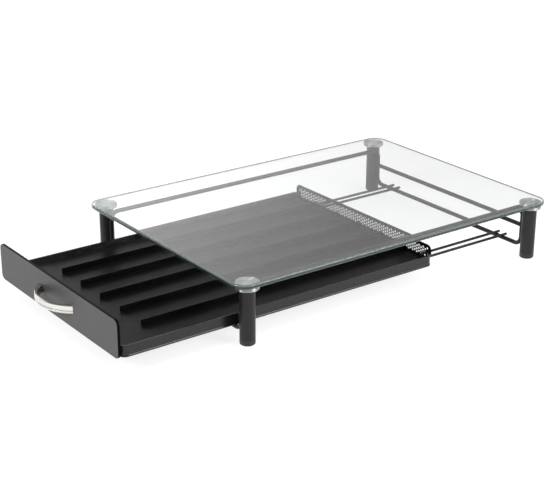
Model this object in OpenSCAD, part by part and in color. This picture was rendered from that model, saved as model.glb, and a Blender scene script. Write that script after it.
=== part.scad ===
// Coffee pod drawer: a glass shelf on four legs, with a wire frame between
// them that carries a shallow sliding tray with six lanes for pods.
// Millimetres, +Z up. +Y points to the back, and the drawer slides out to -Y.
// The origin is on the floor, in the middle of the part as it stands open.

/* [Pods and lanes] */
// Width of one lane, middle to middle of its dividers
lane_w = 40; // [38:0.5:44]
// Number of pods in a lane
rows = 10; // [8:1:11]
// Room for one pod along its lane
pod_pitch = 38.4; // [37:0.1:41]

/* [Stand] */
// Diameter of the leg tube
leg_d = 16; // [14:0.5:20]
// Wall of the leg tube
leg_wall = 1.2; // [0.8:0.1:1.6]
// Height of the underside of the glass above the floor
glass_under = 63; // [62:1:80]
// Diameter of the rod that the frame is bent from
wire_d = 4.8; // [4:0.2:6]
// Inside bend of the rod, measured on its middle line
wire_bend = 9; // [7:0.5:12]
// Height of the lower cross wires
low_wire_z = 11.5; // [9:0.5:12]
// Height at which the upper and lower rods meet on each leg
butt_z = 30; // [28:1:40]
// Height of the side rails
side_rail_z = 55; // [50:1:56]
// Height of the rear mid rod
mid_rod_z = 35.2; // [34:0.2:42]

/* [Glass] */
// Thickness of the glass
glass_t = 5; // [4:0.5:8]
// Corner radius of the glass
glass_r = 20; // [10:1:30]
// Glass beyond the middle of a leg, to each side
glass_side = 13.3; // [13:0.1:20]
// Glass beyond the middle of a leg, to the front and to the back
glass_end = 17.5; // [13:0.5:30]
// Diameter of the disc between leg and glass
disc_d = 24.4; // [20:0.2:25]
// Thickness of that disc
disc_t = 4; // [3:0.5:5]

/* [Drawer] */
// How far the drawer is drawn out
drawer_out = 129; // [0:1:300]
// Height of the front panel
panel_h = 40; // [36:1:41]
// Thickness of the front panel
panel_t = 3; // [3:0.5:5]
// Corner radius of the front panel
panel_r = 6; // [2:0.5:10]
// Corner radius of the tray
tray_r = 7; // [5:0.5:12]
// Thickness of the tray rim
rim_t = 1.2; // [1:0.1:1.6]
// Height of the rim and the dividers above the base
rim_rise = 6.3; // [5:0.1:9]
// Diameter of the rolled edge under the rim
bead_d = 3; // [2.6:0.1:3.4]
// Thickness of the base sheet
base_t = 1; // [0.8:0.1:1.5]
// Height of the rear wall above the base
back_rise = 16.5; // [12:0.5:20]
// Thickness of the rear wall
back_t = 1.2; // [0.8:0.1:1.6]
// Radius of the rear wall's upper corners
back_r = 6; // [3:0.5:8]
// Thickness of a divider
divider_t = 1; // [0.8:0.1:1.5]
// Depth of the front angle on the base
angle_d = 44; // [20:1:60]
// Thickness of the front angle
angle_t = 1; // [0.8:0.1:1.5]

/* [Handle] */
// Width of the handle over its feet
bow_w = 72; // [60:1:100]
// Reach of the handle in front of the panel
bow_reach = 18; // [14:0.5:24]
// Thickness of the handle at the middle
bow_t = 2.7; // [2:0.1:4]
// Width of each foot of the handle
bow_foot = 8; // [7:0.5:10]
// Height of the handle's band
bow_h = 8; // [7:0.5:12]

/* [Slide] */
// Diameter of the track rods
track_d = 3; // [2.6:0.1:3.4]
// Distance between the two rods of a track, middle to middle
track_gap = 11; // [10.6:0.2:13]
// Distance of a track's middle from the outside of the tray
track_in = 28.2; // [23:0.2:45]
// Gap between sliding faces
run_gap = 0.3; // [0.2:0.05:0.4]
// Gap at each stop
stop_gap = 0.3; // [0.2:0.05:0.6]
// Gap between the tray and the rods beside it
side_gap = 1.3; // [0.8:0.1:3]

/* [Hidden] */
$fn = 64;
// Overrun of every cut
cut = 1;
// Depth that a welded rod, a stud or a screw's shank sinks into its neighbour or head
weld = 0.15;
// Radial play of a plug, a screw or a stud in its hole
fit = 0.05;
// Lanes side by side: each divider between two of them is a node
lanes = 6;

// Feet and plugs of the legs
foot_h = 6;
foot_edge = 1.8;
foot_plug_h = 8;
top_plug_h = 10;
stud_d = 6;
stud_l = 9;

// Screws
screw_d = 3;
screw_head_d = 5;
screw_head_h = 2;
blind = 2;
bow_blind = 3;
bow_screw_in = 1;

// Track ends and slide pieces
track_over = 1.6;
glide_l = 16;
glide_side = 4;
glide_cap = 2.25;
glide_lip = 0.55;
glide_mouth = 2.5;
glide_set = 0.1;
runner_w = 14;
runner_t = 1.7;
runner_set = 1.1;
runner_over = 1;
shoe_l = 24;
shoe_w = 18;
shoe_set = 18.3;
shoe_sole_w = 15;
shoe_sole_t = 1.6;
shoe_screw_set = 5;
shoe_head_d = 5.4;
shoe_head_h = 1.4;

// Tray
bead_out = 0.5;
bead_clear = 1.8;
panel_clear = 1.5;
spacer_t = 1;
spacer_d = 5;
notch_side = 1;
angle_play = 0.4;
back_lift = 0.3;
back_seam = 1.5;
// Gap between the rear wall and the mid rod with the drawer shut
back_play = 0.5;

// The tray and the stand around it
tray_w = lanes * lane_w + 2 * rim_t;
tray_l = rows * pod_pitch + back_t + 2 * rim_t;
track_x = tray_w / 2 - track_in;
wire_x = tray_w / 2 + bead_out + side_gap + wire_d / 2;
leg_x = wire_x + wire_d / 2 + leg_d / 2 - weld;
leg_y = (tray_l - rim_t + spacer_t + back_play - track_over - stop_gap) / 2;
leg_in_d = leg_d - 2 * leg_wall;
leg_top_z = glass_under - disc_t;
glass_w = 2 * (leg_x + glass_side);
glass_l = 2 * (leg_y + glass_end);

// Heights, from the lower cross wires up
wire_top_z = low_wire_z + wire_d / 2;
track_z = wire_top_z + track_d / 2 - weld;
glide_top_z = track_z + track_d / 2 + glide_cap;
runner_z = glide_top_z + run_gap;
base_z = runner_z + runner_t;
floor_z = base_z + base_t;
rim_z = floor_z + rim_rise;
bead_z = wire_top_z + bead_clear + bead_d / 2;
panel_z = wire_top_z + panel_clear;
shoe_top_z = track_z + track_d / 2 + run_gap;
shoe_foot_z = track_z - track_d / 2 - run_gap - shoe_sole_t;
shoe_web_w = track_gap - track_d - 2 * run_gap;
screw_z = (floor_z + angle_t + rim_z) / 2;

// Places along Y with the drawer shut, the middle of the stand at zero
track_end_y = leg_y + wire_d / 2 + track_over;
panel_back_y = -(track_end_y + stop_gap);
panel_front_y = panel_back_y - panel_t;
tray_front_y = panel_back_y + spacer_t;
tray_back_y = tray_front_y + tray_l;
inner_front_y = tray_front_y + rim_t;
inner_back_y = tray_back_y - rim_t;
angle_back_y = inner_front_y + angle_d;
divider_back_y = inner_back_y - back_t - angle_play;
glide_y = -leg_y + wire_d / 2 + glide_set;
shoe_back_y = tray_back_y - shoe_set;
shoe_y = shoe_back_y - shoe_l;
runner_y = inner_front_y + runner_set;
runner_l = shoe_back_y + runner_over - runner_y;

// Panel and handle
panel_w = tray_w;
bow_z = panel_z + panel_h / 2;
bow_rise = bow_reach - bow_t;
bow_out_r = arc_radius(bow_w, bow_reach);
bow_in_r = arc_radius(bow_w - 2 * bow_foot, bow_rise);
bow_screw_x = (bow_w - bow_foot) / 2 - bow_screw_in;

// The middle of the open part is the origin
stand_y = (drawer_out - panel_front_y + bow_reach - glass_l / 2) / 2;

function arc_radius(chord, rise) = (pow(chord / 2, 2) + pow(rise, 2)) / (2 * rise);

// Everything is drawn about the middle of the stand, then moved to its place
module in_stand() {
    translate([0, stand_y, 0]) children();
}

module in_drawer() {
    translate([0, stand_y - drawer_out, 0]) children();
}

// side is -1 on the left and 1 on the right, end is -1 in front and 1 behind
module at_leg(side, end) {
    in_stand() translate([side * leg_x, end * leg_y, 0]) children();
}

module round_rect(w, l, r) {
    for (a = [-1, 1], b = [-1, 1])
        translate([a * (w / 2 - r), b * (l / 2 - r)]) circle(r);
    square([w - 2 * r, l], center = true);
    square([w, l - 2 * r], center = true);
}

// A straight rod with two bent-down ends, its bar's middle line at Z = 0
module bent_wire(span, drop, bend, d) {
    for (m = [0, 1])
        mirror([m, 0, 0]) {
            translate([span / 2, 0, -drop]) cylinder(d = d, h = drop - bend);
            translate([span / 2 - bend, 0, -bend])
                rotate([90, 0, 0])
                    rotate_extrude(angle = 90) translate([bend, 0]) circle(d = d);
        }
    translate([bend - span / 2, 0, 0]) rotate([0, 90, 0]) cylinder(d = d, h = span - 2 * bend);
}

module glass_top() {
    color([0.75, 0.87, 0.83, 0.45])
        in_stand() translate([0, 0, glass_under])
            linear_extrude(glass_t) round_rect(glass_w, glass_l, glass_r);
}

module leg(side, end) {
    color("#1b1b1c")
        at_leg(side, end) translate([0, 0, foot_h])
            difference() {
                cylinder(d = leg_d, h = leg_top_z - foot_h);
                translate([0, 0, -cut]) cylinder(d = leg_in_d, h = leg_top_z - foot_h + 2 * cut);
            }
}

module foot(side, end) {
    color("#101011")
        at_leg(side, end) rotate_extrude() {
            square([leg_d / 2 - foot_edge, foot_h]);
            translate([0, foot_edge]) square([leg_d / 2, foot_h - foot_edge]);
            translate([leg_d / 2 - foot_edge, foot_edge]) circle(foot_edge);
            square([leg_in_d / 2 - fit, foot_h + foot_plug_h]);
        }
}

module disc(side, end) {
    color("#c9cbcc")
        at_leg(side, end) {
            translate([0, 0, leg_top_z]) cylinder(d = disc_d, h = disc_t);
            translate([0, 0, leg_top_z - stud_l]) cylinder(d = stud_d, h = stud_l + weld);
        }
}

module leg_top_plugs() {
    color("#77797b")
        for (side = [-1, 1], end = [-1, 1])
            at_leg(side, end) translate([0, 0, leg_top_z - top_plug_h])
                difference() {
                    cylinder(d = leg_in_d - 2 * fit, h = top_plug_h);
                    translate([0, 0, -cut]) cylinder(d = stud_d + 2 * fit, h = top_plug_h + 2 * cut);
                }
}

module side_rail(side) {
    color("#1b1b1c")
        in_stand() translate([side * wire_x, 0, side_rail_z]) rotate([0, 0, 90])
            bent_wire(2 * leg_y, side_rail_z - butt_z, wire_bend, wire_d);
}

module cross_wire(end) {
    color("#1b1b1c")
        in_stand() translate([0, end * leg_y, low_wire_z]) mirror([0, 0, 1])
            bent_wire(2 * wire_x, butt_z - low_wire_z, wire_bend, wire_d);
}

module mid_rod_rear() {
    half = wire_x - wire_d / 2 + weld;
    color("#1b1b1c")
        in_stand() translate([-half, leg_y, mid_rod_z]) rotate([0, 90, 0])
            cylinder(d = wire_d, h = 2 * half);
}

// row is -1 for the left rod of a track and 1 for the right one
module track_rod(side, row) {
    color("#1b1b1c")
        in_stand() translate([side * (track_x + row * track_gap / 2), -track_end_y, track_z])
            rotate([-90, 0, 0]) cylinder(d = track_d, h = 2 * track_end_y);
}

// A plastic block that snaps over both rods of a track from above
module front_glide(side) {
    w = track_gap + track_d + glide_side;
    low = track_z - track_d / 2 - glide_lip;
    color("#161617")
        in_stand() translate([side * track_x, glide_y, 0])
            difference() {
                translate([-w / 2, 0, low]) cube([w, glide_l, glide_top_z - low]);
                for (row = [-1, 1])
                    translate([row * track_gap / 2, -cut, track_z]) {
                        rotate([-90, 0, 0]) cylinder(d = track_d + 2 * fit, h = glide_l + 2 * cut);
                        translate([-glide_mouth / 2, 0, low - track_z - cut])
                            cube([glide_mouth, glide_l + 2 * cut, track_z - low + cut]);
                    }
            }
}

module panel_screw_places() {
    for (i = [-2, -1, 1, 2])
        translate([i * lane_w, 0, screw_z]) rotate([-90, 0, 0]) children();
}

module bow_screw_places() {
    for (side = [-1, 1])
        translate([side * bow_screw_x, 0, bow_z]) rotate([-90, 0, 0]) children();
}

module front_panel() {
    color("#565657")
        in_drawer() difference() {
            translate([0, panel_back_y, panel_z + panel_h / 2]) rotate([90, 0, 0])
                linear_extrude(panel_t) round_rect(panel_w, panel_h, panel_r);
            translate([0, panel_back_y - blind, 0]) panel_screw_places()
                cylinder(d = screw_d + 2 * fit, h = blind + cut);
            translate([0, panel_front_y - cut, 0]) bow_screw_places()
                cylinder(d = screw_d + 2 * fit, h = panel_t + 2 * cut);
        }
}

// A crescent seen from above: a wide arc less a tighter one
module handle() {
    color("#d5d5d4")
        in_drawer() translate([0, panel_front_y, 0])
            difference() {
                translate([0, 0, bow_z - bow_h / 2]) linear_extrude(bow_h)
                    difference() {
                        intersection() {
                            translate([0, bow_out_r - bow_reach]) circle(bow_out_r);
                            translate([-bow_w / 2, -bow_reach]) square([bow_w, bow_reach]);
                        }
                        translate([0, bow_in_r - bow_rise]) circle(bow_in_r);
                    }
                translate([0, -bow_blind, 0]) bow_screw_places()
                    cylinder(d = screw_d + 2 * fit, h = bow_blind + cut);
            }
}

module handle_screws() {
    color("#a9abad")
        in_drawer() bow_screw_places() {
            translate([0, 0, panel_back_y]) cylinder(d = screw_head_d, h = screw_head_h);
            translate([0, 0, panel_front_y - bow_blind + fit])
                cylinder(d = screw_d, h = panel_t + bow_blind - fit + weld);
        }
}

// The rim cut across: an upright strip with a rolled bead along its foot.
// X = 0 is the outside of the strip.
module rim_section(top_z) {
    translate([-rim_t, bead_z]) square([rim_t, top_z - bead_z]);
    translate([bead_out - bead_d / 2, bead_z]) circle(d = bead_d);
}

// A straight length of the rim, its outside facing +X at X = 0
module rim_length(l, top_z) {
    translate([0, l / 2, 0]) rotate([90, 0, 0]) linear_extrude(l) rim_section(top_z);
}

module rim_side(side) {
    color("#29292a")
        in_drawer() translate([0, tray_front_y + tray_l / 2, 0]) mirror([side < 0 ? 1 : 0, 0, 0])
            translate([tray_w / 2, 0, 0]) rim_length(tray_l - 2 * tray_r, rim_z);
}

// Shallow notches in the bead pass over the track rods. The rear strip is low,
// and the foot of the rear wall is welded to its inner face.
module rim_end(end) {
    notch_w = track_gap + track_d + 2 * notch_side;
    low = bead_z - bead_d / 2 - cut;
    color("#29292a")
        in_drawer() difference() {
            translate([0, end < 0 ? tray_front_y : tray_back_y, 0]) rotate([0, 0, end * 90])
                rim_length(tray_w - 2 * tray_r, end < 0 ? rim_z : floor_z + back_seam);
            for (side = [-1, 1])
                translate([side * track_x - notch_w / 2, tray_front_y - cut, low])
                    cube([notch_w, tray_l + 2 * cut, shoe_top_z - low]);
            translate([0, tray_front_y - cut, 0]) panel_screw_places()
                cylinder(d = screw_d + 2 * fit, h = rim_t + 2 * cut);
        }
}

// The corners keep the full height, so the rear ones end beside the rear wall
module rim_corners() {
    color("#29292a")
        in_drawer() translate([0, tray_front_y + tray_l / 2, 0])
            for (m = [0, 1], n = [0, 1])
                mirror([m, 0, 0]) mirror([0, n, 0])
                    translate([tray_w / 2 - tray_r, tray_l / 2 - tray_r, 0])
                        rotate_extrude(angle = 90) translate([tray_r, 0]) rim_section(rim_z);
}

// A plate inside the rear of the rim. Its foot stands on the base between the
// rim's round corners, and above them it is as wide as the inside of the rim.
module rear_wall() {
    w = tray_w - 2 * rim_t;
    foot_w = tray_w - 2 * tray_r;
    color("#29292a")
        in_drawer() translate([0, inner_back_y, floor_z]) rotate([90, 0, 0])
            linear_extrude(back_t) intersection() {
                round_rect(w, 2 * back_rise, back_r);
                union() {
                    translate([-foot_w / 2, 0]) square([foot_w, back_rise]);
                    translate([-w / 2, rim_rise + back_lift]) square([w, back_rise]);
                }
            }
}

module shoe_screw_places() {
    for (side = [-1, 1], y = [shoe_y + shoe_screw_set, shoe_back_y - shoe_screw_set])
        translate([side * track_x, y, shoe_foot_z]) children();
}

// The floor of the tray inside its rim, as a flat outline
module floor_outline() {
    translate([0, tray_front_y + tray_l / 2])
        round_rect(tray_w - 2 * rim_t, tray_l - 2 * rim_t, tray_r);
}

module tray_base() {
    color("#222223")
        in_drawer() difference() {
            translate([0, 0, base_z]) linear_extrude(base_t) floor_outline();
            shoe_screw_places() cylinder(d = screw_d + 2 * fit, h = floor_z - shoe_foot_z + cut);
        }
}

module front_angle() {
    w = tray_w - 2 * tray_r;
    color("#1d1d1e")
        in_drawer() difference() {
            translate([0, 0, floor_z]) {
                linear_extrude(angle_t) intersection() {
                    floor_outline();
                    translate([-tray_w / 2, inner_front_y]) square([tray_w, angle_d]);
                }
                translate([-w / 2, inner_front_y, 0]) cube([w, angle_t, rim_rise]);
            }
            translate([0, inner_front_y - cut, 0]) panel_screw_places()
                cylinder(d = screw_d + 2 * fit, h = angle_t + 2 * cut);
        }
}

// place counts the dividers from the left
module lane_divider(place) {
    x = (place - lanes / 2) * lane_w;
    color("#29292a")
        in_drawer() translate([x - divider_t / 2, angle_back_y + angle_play, floor_z])
            cube([divider_t, divider_back_y - angle_back_y - angle_play, rim_rise]);
}

module panel_spacers() {
    color("#8c8e90")
        in_drawer() translate([0, panel_back_y, 0]) panel_screw_places()
            difference() {
                cylinder(d = spacer_d, h = spacer_t);
                translate([0, 0, -cut]) cylinder(d = screw_d + 2 * fit, h = spacer_t + 2 * cut);
            }
}

module panel_screws() {
    head_y = inner_front_y + angle_t;
    color("#a9abad")
        in_drawer() panel_screw_places() {
            translate([0, 0, head_y]) cylinder(d = screw_head_d, h = screw_head_h);
            translate([0, 0, panel_back_y - blind + fit])
                cylinder(d = screw_d, h = head_y - panel_back_y + blind - fit + weld);
        }
}

module runner(side) {
    color("#29292a")
        in_drawer() difference() {
            translate([side * track_x - runner_w / 2, runner_y, runner_z])
                cube([runner_w, runner_l, runner_t]);
            shoe_screw_places() cylinder(d = screw_d + 2 * fit, h = base_z - shoe_foot_z + cut);
        }
}

// An I-shaped plastic shoe that holds the runner down on both rods of a track
module rear_shoe(side) {
    color("#161617")
        in_drawer() difference() {
            translate([side * track_x, shoe_y, 0]) {
                translate([-shoe_w / 2, 0, shoe_top_z]) cube([shoe_w, shoe_l, runner_z - shoe_top_z]);
                translate([-shoe_web_w / 2, 0, shoe_foot_z])
                    cube([shoe_web_w, shoe_l, runner_z - shoe_foot_z]);
                translate([-shoe_sole_w / 2, 0, shoe_foot_z]) cube([shoe_sole_w, shoe_l, shoe_sole_t]);
            }
            shoe_screw_places() {
                translate([0, 0, -cut]) cylinder(d = screw_d + 2 * fit, h = runner_z - shoe_foot_z + 2 * cut);
                translate([0, 0, -cut]) cylinder(d = shoe_head_d + 2 * fit, h = shoe_head_h + cut);
            }
        }
}

module shoe_screws() {
    color("#a9abad")
        in_drawer() shoe_screw_places() {
            cylinder(d = shoe_head_d, h = shoe_head_h);
            cylinder(d = screw_d, h = floor_z - shoe_foot_z);
        }
}

glass_top();
leg(-1, -1);  // leg_front_left
leg(1, -1);  // leg_front_right
leg(-1, 1);  // leg_rear_left
leg(1, 1);  // leg_rear_right
foot(-1, -1);  // foot_front_left
foot(1, -1);  // foot_front_right
foot(-1, 1);  // foot_rear_left
foot(1, 1);  // foot_rear_right
disc(-1, -1);  // disc_front_left
disc(1, -1);  // disc_front_right
disc(-1, 1);  // disc_rear_left
disc(1, 1);  // disc_rear_right
leg_top_plugs();
side_rail(-1);  // side_rail_left
side_rail(1);  // side_rail_right
cross_wire(-1);  // cross_wire_front
cross_wire(1);  // cross_wire_rear
mid_rod_rear();
track_rod(-1, -1);  // track_rod_left_outer
track_rod(-1, 1);  // track_rod_left_inner
track_rod(1, -1);  // track_rod_right_inner
track_rod(1, 1);  // track_rod_right_outer
front_glide(-1);  // front_glide_left
front_glide(1);  // front_glide_right
front_panel();
handle();
handle_screws();
rim_end(-1);  // rim_front
rim_end(1);  // rim_rear
rim_side(-1);  // rim_left
rim_side(1);  // rim_right
rim_corners();
rear_wall();
tray_base();
front_angle();
lane_divider(1);  // lane_divider_1
lane_divider(2);  // lane_divider_2
lane_divider(3);  // lane_divider_3
lane_divider(4);  // lane_divider_4
lane_divider(5);  // lane_divider_5
panel_spacers();
panel_screws();
runner(-1);  // runner_left
runner(1);  // runner_right
rear_shoe(-1);  // rear_shoe_left
rear_shoe(1);  // rear_shoe_right
shoe_screws();
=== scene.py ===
# Coffee pod drawer, dressed for its portrait: a glass shelf on four capped
# legs, with a wire frame between them that carries a shallow sliding tray.
# Metres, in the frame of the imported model.
from math import asin, cos, pi, radians, sin

import bmesh
import bpy
from mathutils import Matrix, Vector


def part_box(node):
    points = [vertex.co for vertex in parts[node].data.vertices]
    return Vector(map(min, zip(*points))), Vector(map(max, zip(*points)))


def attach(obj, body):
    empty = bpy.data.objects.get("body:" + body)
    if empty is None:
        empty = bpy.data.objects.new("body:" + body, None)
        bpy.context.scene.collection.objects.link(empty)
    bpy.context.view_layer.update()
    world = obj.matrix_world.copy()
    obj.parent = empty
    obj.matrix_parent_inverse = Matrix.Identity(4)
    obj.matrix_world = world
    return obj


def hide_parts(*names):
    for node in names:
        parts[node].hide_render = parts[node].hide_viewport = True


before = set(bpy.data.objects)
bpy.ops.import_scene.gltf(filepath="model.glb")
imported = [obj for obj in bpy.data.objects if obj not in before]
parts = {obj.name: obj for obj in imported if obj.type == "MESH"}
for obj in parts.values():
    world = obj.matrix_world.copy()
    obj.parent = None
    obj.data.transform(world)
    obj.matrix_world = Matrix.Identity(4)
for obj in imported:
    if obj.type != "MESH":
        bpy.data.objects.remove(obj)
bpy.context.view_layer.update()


# Sizes of the fine detail that the solids leave out

MM = 0.001

pane_corner = 16 * MM
pane_edge = 1.7 * MM  # ground off each rim of the 5 mm pane, which is nearly half round then
panel_corner = 6 * MM
panel_soft = 0.35 * MM

disc_t = 4 * MM
disc_under = 0.05 * MM  # between the face and the glass, so that the two don't flicker
disc_upper_rim = ((0.9 * MM, 0), (0.3 * MM, 0.15 * MM), (0, 0.6 * MM))  # inwards and down
disc_lower_rim = ((0, 0.7 * MM), (0.25 * MM, 0.2 * MM), (0.8 * MM, 0))  # inwards and up
stud_r = 3 * MM
stud_soft = 0.5 * MM

bow_foot = 8 * MM  # the inner arc's ends are this far in from the outer arc's
bow_t = 2.7 * MM
bow_lean = 0.4 * MM
bow_soft = 0.45 * MM
groove_up = 2.8 * MM
groove_half = 0.3 * MM
groove_deep = 0.45 * MM

wall_t = 0.9 * MM
wall_corner = 6 * MM
wall_foot_in = 7.5 * MM  # the rim's 7 mm corner and a little play
wall_over_rim = 0.3 * MM
hole_r = 1.4 * MM
hole_columns = 70
hole_rows = 3
column_step = 3.3 * MM
row_step = 3.5 * MM
hole_border = 3.2 * MM  # plain sheet over the top row
hole_web = 1 * MM  # the least sheet between a hole and the foot's side or shoulder


# The studio, in metres: each soft box has a name, a place, a width and watts

soft_boxes = (("overhead box", (0.2, 0.1, 1.9), 1.8, 8),
              ("right box", (1.5, 0.75, 0.9), 0.9, 24),
              ("front box", (-0.1, -1.75, 1.0), 0.6, 26),
              ("rear box", (0.25, 1.75, 0.8), 0.5, 5),
              ("left box", (-1.65, -0.3, 0.8), 0.5, 5))
to_dark_wall = (-0.55, -0.83, 0.0)
to_bright_wall = (-0.98, 0.08, 0.16)
floor_half = 6  # from the middle to a side

# The photograph's view, from a fit of its straight edges
picture_width = 550  # pixels
lens_length = 1380.57  # pixels
camera_place = (1.13349, -0.82603, 0.58768)
azimuth, elevation, roll = radians(53.65), radians(21.85), radians(0.19)


# Small tools

Y, Z = 1, 2  # numbers of axes
ALONG = 0.9  # the share of an axis in a direction that runs nearly along it
SQUARE_ON = 0.9999  # the same for a direction that runs right along it

# Sockets of a Mix node that mixes colours: what goes in, and what comes out
SHARE, FIRST, SECOND, MIXED = 0, 6, 7, 2


def linear(code):
    """The linear colour of an sRGB hex value."""
    shares = [int(code[i:i + 2], 16) / 255 for i in (1, 3, 5)]
    return [s / 12.92 if s <= 0.04045 else ((s + 0.055) / 1.055) ** 2.4 for s in shares] + [1.0]


def add_node(tree, kind, inputs=None, **settings):
    """Adds a node; each input takes a value, or a link from another socket."""
    node = tree.nodes.new(kind)
    for name, value in settings.items():
        setattr(node, name, value)
    for name, value in (inputs or {}).items():
        if isinstance(value, bpy.types.NodeSocket):
            tree.links.new(value, node.inputs[name])
        else:
            node.inputs[name].default_value = value
    return node


def start_material(name):
    """An empty material, and the place on the object that its patterns read."""
    material = bpy.data.materials.new(name)
    material.use_nodes = True
    tree = material.node_tree
    tree.nodes.clear()
    return material, tree, add_node(tree, "ShaderNodeTexCoord").outputs["Object"]


def show(thing):
    """Puts an object into the scene."""
    bpy.context.scene.collection.objects.link(thing)


def as_mesh(name, shape, finishes):
    """The mesh of a finished shape, with its finishes."""
    mesh = bpy.data.meshes.new(name)
    shape.to_mesh(mesh)
    shape.free()
    for finish in finishes:
        mesh.materials.append(finish)
    return mesh


# Finishes: one function for each kind of surface

def powder_coat(name, deep, worn, smooth, dull, peel, depth, shine):
    """Polyester powder baked on steel: a film mottled in clouds of 22 mm, whose
    roughness runs from smooth to dull in grit of 0.9 mm. Its orange peel has
    swells peel metres apart, so long highlights break up. shine is the
    specular level, 0.5 for a clear glossy film."""
    material, tree, place = start_material(name)
    cloud = add_node(tree, "ShaderNodeTexNoise", {"Vector": place, "Scale": 1 / (22 * MM), "Detail": 3.0})
    tint = add_node(tree, "ShaderNodeMix",
                    {SHARE: cloud.outputs["Fac"], FIRST: linear(deep), SECOND: linear(worn)},
                    data_type="RGBA")
    grit = add_node(tree, "ShaderNodeTexNoise", {"Vector": place, "Scale": 1 / (0.9 * MM), "Detail": 2.0})
    gloss = add_node(tree, "ShaderNodeMapRange",
                     {"Value": grit.outputs["Fac"], "From Min": 0.3, "From Max": 0.7, "To Min": smooth,
                      "To Max": dull})
    swell = add_node(tree, "ShaderNodeTexNoise", {"Vector": place, "Scale": 1 / peel, "Detail": 1.0})
    skin = add_node(tree, "ShaderNodeBump",
                    {"Height": swell.outputs["Fac"], "Distance": depth, "Strength": 1.0})
    film = add_node(tree, "ShaderNodeBsdfPrincipled",
                    {"Base Color": tint.outputs[MIXED], "Roughness": gloss.outputs["Result"], "IOR": 1.5,
                     "Specular IOR Level": shine, "Normal": skin.outputs["Normal"]})
    add_node(tree, "ShaderNodeOutputMaterial", {"Surface": film.outputs[0]})
    return material


def chrome_plate():
    """Bright nickel and chrome on die-cast zinc: a mirror with the faint 6 mm
    waves that buffing leaves. Its hairlines are drawn 0.5 mm wide to show."""
    material, tree, place = start_material("chrome plate")
    buff = add_node(tree, "ShaderNodeTexNoise", {"Vector": place, "Scale": 1 / (6 * MM), "Detail": 2.0})
    wave = add_node(tree, "ShaderNodeBump",
                    {"Height": buff.outputs["Fac"], "Distance": 0.012 * MM, "Strength": 1.0})
    hair = add_node(tree, "ShaderNodeTexNoise", {"Vector": place, "Scale": 1 / (0.5 * MM), "Detail": 3.0})
    gloss = add_node(tree, "ShaderNodeMapRange",
                     {"Value": hair.outputs["Fac"], "To Min": 0.05, "To Max": 0.14})
    metal = add_node(tree, "ShaderNodeBsdfPrincipled",
                     {"Base Color": linear("#dcdad6"), "Metallic": 1.0,
                      "Roughness": gloss.outputs["Result"], "Normal": wave.outputs["Normal"]})
    add_node(tree, "ShaderNodeOutputMaterial", {"Surface": metal.outputs[0]})
    return material


def spun_steel(name, centre):
    """Stainless steel faced on a lathe: rings round the disc's own middle
    spread each light into two opposite fans. Real rings are 0.1 mm apart, and
    are drawn as swells 4.4 mm apart to show: a wave texture has a ring in
    every 0.314 of its size, which is 14 mm here."""
    material, tree, place = start_material(name)
    out = add_node(tree, "ShaderNodeVectorMath", {0: place, 1: centre}, operation="SUBTRACT").outputs[0]
    rings = add_node(tree, "ShaderNodeTexWave",
                     {"Vector": out, "Scale": 1 / (14 * MM), "Distortion": 0.6, "Detail": 1.0},
                     wave_type="RINGS", rings_direction="Z")
    cuts = add_node(tree, "ShaderNodeBump",
                    {"Height": rings.outputs["Fac"], "Distance": 0.0015 * MM, "Strength": 1.0})
    gloss = add_node(tree, "ShaderNodeMapRange",
                     {"Value": rings.outputs["Fac"], "To Min": 0.48, "To Max": 0.56})
    metal = add_node(tree, "ShaderNodeBsdfPrincipled",
                     {"Base Color": linear("#b4b6b8"), "Metallic": 1.0,
                      "Roughness": gloss.outputs["Result"], "Anisotropic": 1.0, "Tangent": out,
                      "Normal": cuts.outputs["Normal"]})
    add_node(tree, "ShaderNodeOutputMaterial", {"Surface": metal.outputs[0]})
    return material


def plated_steel(name, pale, deep):
    """Plated screws and spacers: a metal whose fine crystals are drawn 0.8 mm
    wide, so that they show."""
    material, tree, place = start_material(name)
    bloom = add_node(tree, "ShaderNodeTexVoronoi", {"Vector": place, "Scale": 1 / (0.8 * MM)})
    tint = add_node(tree, "ShaderNodeMix",
                    {SHARE: bloom.outputs["Distance"], FIRST: linear(pale), SECOND: linear(deep)},
                    data_type="RGBA")
    gloss = add_node(tree, "ShaderNodeMapRange",
                     {"Value": bloom.outputs["Distance"], "To Min": 0.22, "To Max": 0.38})
    metal = add_node(tree, "ShaderNodeBsdfPrincipled",
                     {"Base Color": tint.outputs[MIXED], "Metallic": 1.0,
                      "Roughness": gloss.outputs["Result"]})
    add_node(tree, "ShaderNodeOutputMaterial", {"Surface": metal.outputs[0]})
    return material


def moulded_plastic():
    """Black polyethylene from a lightly spark-eroded mould: a soft sheen and
    a grain of 0.35 mm."""
    material, tree, place = start_material("black moulded plastic")
    grain = add_node(tree, "ShaderNodeTexVoronoi", {"Vector": place, "Scale": 1 / (0.35 * MM)})
    skin = add_node(tree, "ShaderNodeBump",
                    {"Height": grain.outputs["Distance"], "Distance": 0.02 * MM, "Strength": 0.8})
    cloud = add_node(tree, "ShaderNodeTexNoise", {"Vector": place, "Scale": 1 / (5 * MM), "Detail": 2.0})
    tint = add_node(tree, "ShaderNodeMix",
                    {SHARE: cloud.outputs["Fac"], FIRST: linear("#131314"), SECOND: linear("#1d1d1f")},
                    data_type="RGBA")
    body = add_node(tree, "ShaderNodeBsdfPrincipled",
                    {"Base Color": tint.outputs[MIXED], "Roughness": 0.48, "IOR": 1.5,
                     "Normal": skin.outputs["Normal"]})
    add_node(tree, "ShaderNodeOutputMaterial", {"Surface": body.outputs[0]})
    return material


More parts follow.
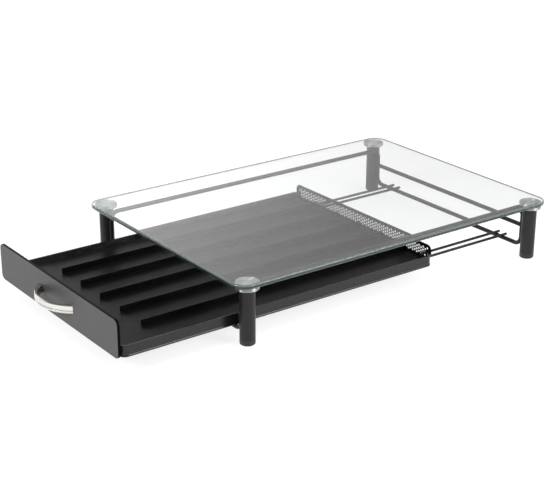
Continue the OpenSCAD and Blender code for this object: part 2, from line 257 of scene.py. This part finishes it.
def float_glass():
    """Tempered soda-lime glass from a float line: clear through its thickness,
    grey-green along its width, and it lets lamps through."""
    material, tree, _ = start_material("tempered float glass")
    clear = add_node(tree, "ShaderNodeBsdfPrincipled",
                     {"Base Color": linear("#ffffff"), "Roughness": 0.0, "IOR": 1.52,
                      "Transmission Weight": 1.0})
    open_way = add_node(tree, "ShaderNodeBsdfTransparent", {"Color": linear("#f2f5f4")})
    path = add_node(tree, "ShaderNodeLightPath")
    both = add_node(tree, "ShaderNodeMixShader",
                    {0: path.outputs["Is Shadow Ray"], 1: clear.outputs[0], 2: open_way.outputs[0]})
    iron = add_node(tree, "ShaderNodeVolumeAbsorption", {"Color": linear("#a4b8b3"), "Density": 10.0})
    add_node(tree, "ShaderNodeOutputMaterial", {"Surface": both.outputs[0], "Volume": iron.outputs[0]})
    return material


def ground_edge(name, deep, pale):
    """The pane's edge, ground and then half polished: a satin film of
    grey-green over clear glass, with faint streaks along it. The stone's
    scratches are 0.05 mm apart, and are drawn 0.6 mm apart to show."""
    material, tree, place = start_material(name)
    along = add_node(tree, "ShaderNodeMapping", {"Vector": place, "Scale": (0.04, 0.04, 1.0)})
    streak = add_node(tree, "ShaderNodeTexNoise",
                      {"Vector": along.outputs["Vector"], "Scale": 1 / (0.6 * MM), "Detail": 2.0})
    tint = add_node(tree, "ShaderNodeMix",
                    {SHARE: streak.outputs["Fac"], FIRST: linear(deep), SECOND: linear(pale)},
                    data_type="RGBA")
    satin = add_node(tree, "ShaderNodeBsdfPrincipled",
                     {"Base Color": tint.outputs[MIXED], "Roughness": 0.4, "IOR": 1.52})
    clear = add_node(tree, "ShaderNodeBsdfPrincipled",
                     {"Base Color": linear("#ffffff"), "Roughness": 0.05, "IOR": 1.52,
                      "Transmission Weight": 1.0})
    both = add_node(tree, "ShaderNodeMixShader", {0: 0.45, 1: clear.outputs[0], 2: satin.outputs[0]})
    add_node(tree, "ShaderNodeOutputMaterial", {"Surface": both.outputs[0]})
    return material


def studio_paper():
    """White translucent sheet on a light table, with faint clouds of 40 mm."""
    material, tree, place = start_material("white studio sheet")
    fibre = add_node(tree, "ShaderNodeTexNoise", {"Vector": place, "Scale": 1 / (40 * MM), "Detail": 3.0})
    tint = add_node(tree, "ShaderNodeMix",
                    {SHARE: fibre.outputs["Fac"], FIRST: linear("#828282"), SECOND: linear("#868686")},
                    data_type="RGBA")
    paper = add_node(tree, "ShaderNodeBsdfPrincipled",
                     {"Base Color": tint.outputs[MIXED], "Roughness": 0.9,
                      "Emission Color": linear("#ffffff"), "Emission Strength": 0.82})
    add_node(tree, "ShaderNodeOutputMaterial", {"Surface": paper.outputs[0]})
    return material


# Rods and legs are semi-gloss, the rim is smoother, and the panel's cut edge is duller. The tray's sheet
# is duller still: its near-black colour and low shine are partly its black coat and partly painted shade,
# standing in for the shade that a load of pods would cast in the tray.
rod_black = powder_coat("black powder coat on rod", "#0f0e0f", "#161414", smooth=0.3, dull=0.42,
                        peel=1.6 * MM, depth=0.012 * MM, shine=0.28)
leg_black = powder_coat("black powder coat on tube", "#171515", "#221f1f", smooth=0.34, dull=0.46,
                        peel=0.9 * MM, depth=0.02 * MM, shine=0.3)
rim_black = powder_coat("black powder coat on the rim", "#110f10", "#181516", smooth=0.2, dull=0.3,
                        peel=1.4 * MM, depth=0.008 * MM, shine=0.46)
tray_black_and_shade = powder_coat("black powder coat on sheet, dulled for painted shade", "#080808", "#0d0c0c", smooth=0.3, dull=0.4,
                         peel=1.4 * MM, depth=0.008 * MM, shine=0.08)
panel_grey = powder_coat("dark grey powder coat", "#3d3b3d", "#444244", smooth=0.4, dull=0.5,
                         peel=1.2 * MM, depth=0.01 * MM, shine=0.42)
panel_edge = powder_coat("black powder coat on the panel edge", "#050505", "#080808", smooth=0.4,
                         dull=0.5, peel=1.2 * MM, depth=0.01 * MM, shine=0.03)
chrome = chrome_plate()
zinc = plated_steel("zinc plated steel", "#b4b8bc", "#8f9499")
blacked = plated_steel("black oxide on screws", "#1c1b1b", "#121212")
plastic = moulded_plastic()
glass = float_glass()
# The edge is ground the same all round: its upper half is painted paler as painted light, and its lower
# half darker as painted shade.
edge_painted_lit = ground_edge("ground glass edge, upper half, painted lit", "#7f8c87", "#96a39e")
edge_painted_shade = ground_edge("ground glass edge, lower half, painted shade", "#2c3935", "#3d4a45")


# Shapes

def add_piece(name, shape, finishes, body, node, crease=35):
    """Makes a piece of a finished shape. It rides on a body and replaces a
    node. Faces square to the axes stay flat, and the rest is smooth up to the
    crease angle, in degrees."""
    bmesh.ops.recalc_face_normals(shape, faces=shape.faces)
    mesh = as_mesh(name, shape, finishes)
    mesh.set_sharp_from_angle(angle=radians(crease))
    for face in mesh.polygons:
        face.use_smooth = max(abs(share) for share in face.normal) < SQUARE_ON
    piece = bpy.data.objects.new(name, mesh)
    show(piece)
    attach(piece, body)
    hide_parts(node)


def plate(low, high, across, corner, corner_steps, soft, soft_steps):
    """A plate whose thickness runs along the axis numbered across, with round
    corners and softened rims."""
    shape = bmesh.new()
    bmesh.ops.create_cube(shape, size=1)
    bmesh.ops.scale(shape, vec=high - low, verts=shape.verts)
    bmesh.ops.translate(shape, vec=(low + high) / 2, verts=shape.verts)
    posts = [e for e in shape.edges if abs((e.verts[0].co - e.verts[1].co).normalized()[across]) > ALONG]
    bmesh.ops.bevel(shape, geom=posts, affect="EDGES", offset=corner, segments=corner_steps, profile=0.5,
                    material=-1)
    shape.normal_update()
    rims = [e for e in shape.edges if any(abs(f.normal[across]) > ALONG for f in e.link_faces)]
    bmesh.ops.bevel(shape, geom=rims, affect="EDGES", offset=soft, segments=soft_steps, profile=0.5,
                    material=-1)
    shape.normal_update()
    return shape


def lathe(profile, centre, steps):
    """Turns (radius, height) points round a vertical axis."""
    shape = bmesh.new()
    line = [shape.verts.new((centre.x + r, centre.y, z)) for r, z in profile]
    edges = [shape.edges.new(pair) for pair in zip(line, line[1:])]
    bmesh.ops.spin(shape, geom=line + edges, cent=centre, axis=(0, 0, 1), dvec=(0, 0, 0), angle=2 * pi,
                   steps=steps, use_merge=True, use_duplicate=False)
    bmesh.ops.remove_doubles(shape, verts=shape.verts, dist=0.001 * MM)
    return shape


def glass_pane():
    """The glass: clear faces, and a ground edge with painted light: paler where it looks up, and darker
    with painted shade where it looks down.
    """
    low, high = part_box("glass_top")
    shape = plate(low, high, across=Z, corner=pane_corner, corner_steps=20, soft=pane_edge, soft_steps=6)
    upward = 0.1
    flat, above, below = 0, 1, 2
    # Edge faces that look up take the painted-lit copy, and those that look down take the painted-shade
    # copy.
    for face in shape.faces:
        if abs(face.normal.z) > SQUARE_ON:
            face.material_index = flat
        else:
            face.material_index = above if face.normal.z > upward else below
    add_piece("glass_pane", shape, [glass, edge_painted_lit, edge_painted_shade], "stand", "glass_top",
              crease=50)


def panel_plate():
    """The front panel: grey faces, with a black edge all round."""
    low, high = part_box("front_panel")
    shape = plate(low, high, across=Y, corner=panel_corner, corner_steps=10, soft=panel_soft, soft_steps=3)
    front_or_back, edge = 0, 1
    for face in shape.faces:
        face.material_index = edge if abs(face.normal.y) < ALONG else front_or_back
    add_piece("panel_plate", shape, [panel_grey, panel_edge], "drawer", "front_panel")


def faced_disc(end, side):
    """A disc between leg and glass: a faced top, rounded rims and a stud."""
    node = "disc_%s_%s" % (end, side)
    low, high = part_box(node)
    centre = (low + high) / 2
    r = (high.x - low.x) / 2
    top = high.z - disc_under
    under = high.z - disc_t
    upper = [(r - inwards, top - down) for inwards, down in disc_upper_rim]
    lower = [(r - inwards, under + up) for inwards, up in disc_lower_rim]
    stud = [(stud_r, under), (stud_r, low.z + stud_soft), (stud_r - stud_soft, low.z), (0, low.z)]
    shape = lathe([(0, top)] + upper + lower + stud, centre, steps=64)
    add_piece("faced_" + node, shape, [spun_steel("spun steel, %s %s" % (end, side), centre)], "stand",
              node)


def bow_wall(shape, x, rise, back, heights):
    """One upright wall of the handle: an arc from side to side that rises
    forward from the panel's face, drawn in by the given amount at each
    height."""
    radius = (x * x + rise * rise) / (2 * rise)
    middle = Vector((0, back - rise + radius, 0))
    out = (Vector((-x, back, 0)) - middle).normalized()
    line = [shape.verts.new(middle + out * (radius - draw) + Vector((0, 0, z))) for z, draw in heights]
    edges = [shape.edges.new(pair) for pair in zip(line, line[1:])]
    bmesh.ops.spin(shape, geom=line + edges, cent=middle, axis=(0, 0, 1), dvec=(0, 0, 0),
                   angle=2 * asin(x / radius), steps=56, use_merge=False, use_duplicate=False)


def bow_handle():
    """The handle: two arcs seen from above, joined into a crescent. Its outer
    face leans away above and below a fine groove, a third of the way up."""
    low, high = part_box("handle")
    half, reach = high.x, high.y - low.y
    groove = low.z + groove_up
    shape = bmesh.new()
    bow_wall(shape, half, reach, high.y,
             ((low.z, bow_lean), (groove - groove_half, 0), (groove, groove_deep),
              (groove + groove_half, 0), (high.z, bow_lean)))
    bow_wall(shape, half - bow_foot, reach - bow_t, high.y, ((low.z, 0), (groove, 0), (high.z, 0)))
    near = 0.01 * MM
    for z in (low.z, high.z):
        rims = [e for e in shape.edges if all(abs(v.co.z - z) < near for v in e.verts)]
        bmesh.ops.bridge_loops(shape, edges=rims)
    ends = [e for e in shape.edges if e.is_boundary]
    bmesh.ops.holes_fill(shape, edges=ends, sides=0)
    bmesh.ops.recalc_face_normals(shape, faces=shape.faces)
    sharp_from = radians(50)
    sharp = [e for e in shape.edges if len(e.link_faces) == 2 and e.calc_face_angle() > sharp_from]
    bmesh.ops.bevel(shape, geom=sharp, affect="EDGES", offset=bow_soft, segments=3, profile=0.5,
                    material=-1)
    add_piece("bow_handle", shape, [chrome], "drawer", "handle", crease=25)


def punched_wall():
    """The rear wall: a sheet as wide as the tray, narrower at its foot, where
    it stands between the rim's corners. It is drawn lying down, with round
    holes in staggered columns, and then stood up."""
    low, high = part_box("rear_wall")
    _, rim_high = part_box("rim_corners")
    foot = rim_high.x - wall_foot_in
    shoulder = rim_high.z + wall_over_rim
    shape = bmesh.new()
    outline = [shape.verts.new((x, z, 0)) for x, z in (
        (-foot, low.z), (foot, low.z), (foot, shoulder), (high.x, shoulder),
        (high.x, high.z), (low.x, high.z), (low.x, shoulder), (-foot, shoulder))]
    shape.faces.new(outline)
    top_corners = outline[4:6]
    bmesh.ops.bevel(shape, geom=top_corners, affect="VERTICES", offset=wall_corner, segments=10,
                    profile=0.5, material=-1)
    bmesh.ops.delete(shape, geom=list(shape.faces), context="FACES_ONLY")
    for column in range(-hole_columns // 2, hole_columns // 2):
        x = (column + 0.5) * column_step
        for row in range(hole_rows):
            z = high.z - hole_border - hole_r - (row + column % 2 / 2) * row_step
            if abs(x) + hole_r + hole_web < foot or z - hole_r - hole_web > shoulder:
                bmesh.ops.create_circle(shape, cap_ends=False, segments=16, radius=hole_r,
                                        matrix=Matrix.Translation((x, z, 0)))
    bmesh.ops.triangle_fill(shape, use_beauty=True, use_dissolve=False, edges=list(shape.edges),
                            normal=(0, 0, 1))
    bmesh.ops.rotate(shape, matrix=Matrix.Rotation(pi / 2, 3, "X"), verts=shape.verts)
    bmesh.ops.recalc_face_normals(shape, faces=shape.faces)
    bmesh.ops.solidify(shape, geom=list(shape.faces), thickness=wall_t)
    nearest = min(v.co.y for v in shape.verts)
    bmesh.ops.translate(shape, vec=(0, (low.y + high.y - wall_t) / 2 - nearest, 0), verts=shape.verts)
    add_piece("punched_wall", shape, [tray_black_and_shade], "drawer", "rear_wall")


glass_pane()
panel_plate()
for end in ("front", "rear"):
    for side in ("left", "right"):
        faced_disc(end, side)
bow_handle()
punched_wall()


# Finishes of the parts that keep their shape: what their names start with.
# All other parts are of the tray, and have its black, dulled with painted shade.

kept_finishes = ((("leg_front", "leg_rear"), leg_black),
                 (("side_rail", "cross_wire", "mid_rod", "track_rod"), rod_black),
                 (("rim_",), rim_black),
                 (("foot", "front_glide", "rear_shoe"), plastic),
                 (("shoe_screws",), blacked),
                 (("leg_top", "panel_s", "handle_s"), zinc))
for name, part in parts.items():
    finish = next((kept for starts, kept in kept_finishes if name.startswith(starts)), tray_black_and_shade)
    part.data.materials.clear()
    part.data.materials.append(finish)


# Floor, light and camera

def lay_floor():
    """A square sheet of paper under everything."""
    shape = bmesh.new()
    bmesh.ops.create_grid(shape, x_segments=1, y_segments=1, size=floor_half)
    paper_floor = bpy.data.objects.new("paper_floor", as_mesh("paper_floor", shape, [studio_paper()]))
    show(paper_floor)


def paint_walls():
    """White walls, with a dark one in front on the left and a bright patch
    straight to the left."""
    sky = bpy.data.worlds.new("white studio")
    sky.use_nodes = True
    tree = sky.node_tree
    way = add_node(tree, "ShaderNodeTexCoord").outputs["Generated"]
    ahead = add_node(tree, "ShaderNodeVectorMath", {0: way, 1: to_dark_wall}, operation="DOT_PRODUCT")
    shade = add_node(tree, "ShaderNodeMapRange",
                     {"Value": ahead.outputs["Value"], "From Min": 0.2, "From Max": 0.8, "To Min": 0.52,
                      "To Max": 0.1},
                     interpolation_type="SMOOTHSTEP")
    aside = add_node(tree, "ShaderNodeVectorMath", {0: way, 1: to_bright_wall}, operation="DOT_PRODUCT")
    glow = add_node(tree, "ShaderNodeMapRange",
                    {"Value": aside.outputs["Value"], "From Min": 0.78, "From Max": 0.97, "To Min": 0.0,
                     "To Max": 1.1},
                    interpolation_type="SMOOTHSTEP")
    light = add_node(tree, "ShaderNodeMath", {0: shade.outputs["Result"], 1: glow.outputs["Result"]},
                     operation="ADD")
    background = tree.nodes["Background"]
    background.inputs["Color"].default_value = linear("#ffffff")
    tree.links.new(light.outputs["Value"], background.inputs["Strength"])
    bpy.context.scene.world = sky


def hang_soft_boxes():
    """Soft boxes turned to the middle of the floor: overhead and from the
    right, and three narrower ones for the fans on the discs and the lines of
    light along rods and legs."""
    for name, place, width, watts in soft_boxes:
        lamp = bpy.data.lights.new(name, "AREA")
        lamp.shape = "SQUARE"
        lamp.size = width
        lamp.energy = watts
        box = bpy.data.objects.new(name, lamp)
        box.location = place
        box.rotation_euler = (-Vector(place)).to_track_quat("-Z", "Y").to_euler()
        show(box)


def aim_camera():
    """The camera at the photograph's place, with its lens and tilt."""
    back_way = Vector((sin(azimuth) * cos(elevation), -cos(azimuth) * cos(elevation), sin(elevation)))
    level = Vector((cos(azimuth), sin(azimuth), 0))
    upright = back_way.cross(level)
    right_way = cos(roll) * level + sin(roll) * upright
    up_way = cos(roll) * upright - sin(roll) * level
    shot = bpy.data.cameras.new("portrait")
    shot.sensor_fit = "HORIZONTAL"
    shot.sensor_width = 36
    shot.lens = lens_length / picture_width * shot.sensor_width
    shot.clip_start = 0.01
    camera = bpy.data.objects.new("portrait", shot)
    turn = Matrix((right_way, up_way, back_way)).transposed().to_4x4()
    camera.matrix_world = Matrix.Translation(camera_place) @ turn
    show(camera)
    bpy.context.scene.camera = camera


lay_floor()
paint_walls()
hang_soft_boxes()
aim_camera()
bpy.context.scene.view_settings.view_transform = "Standard"

bpy.context.view_layer.update()
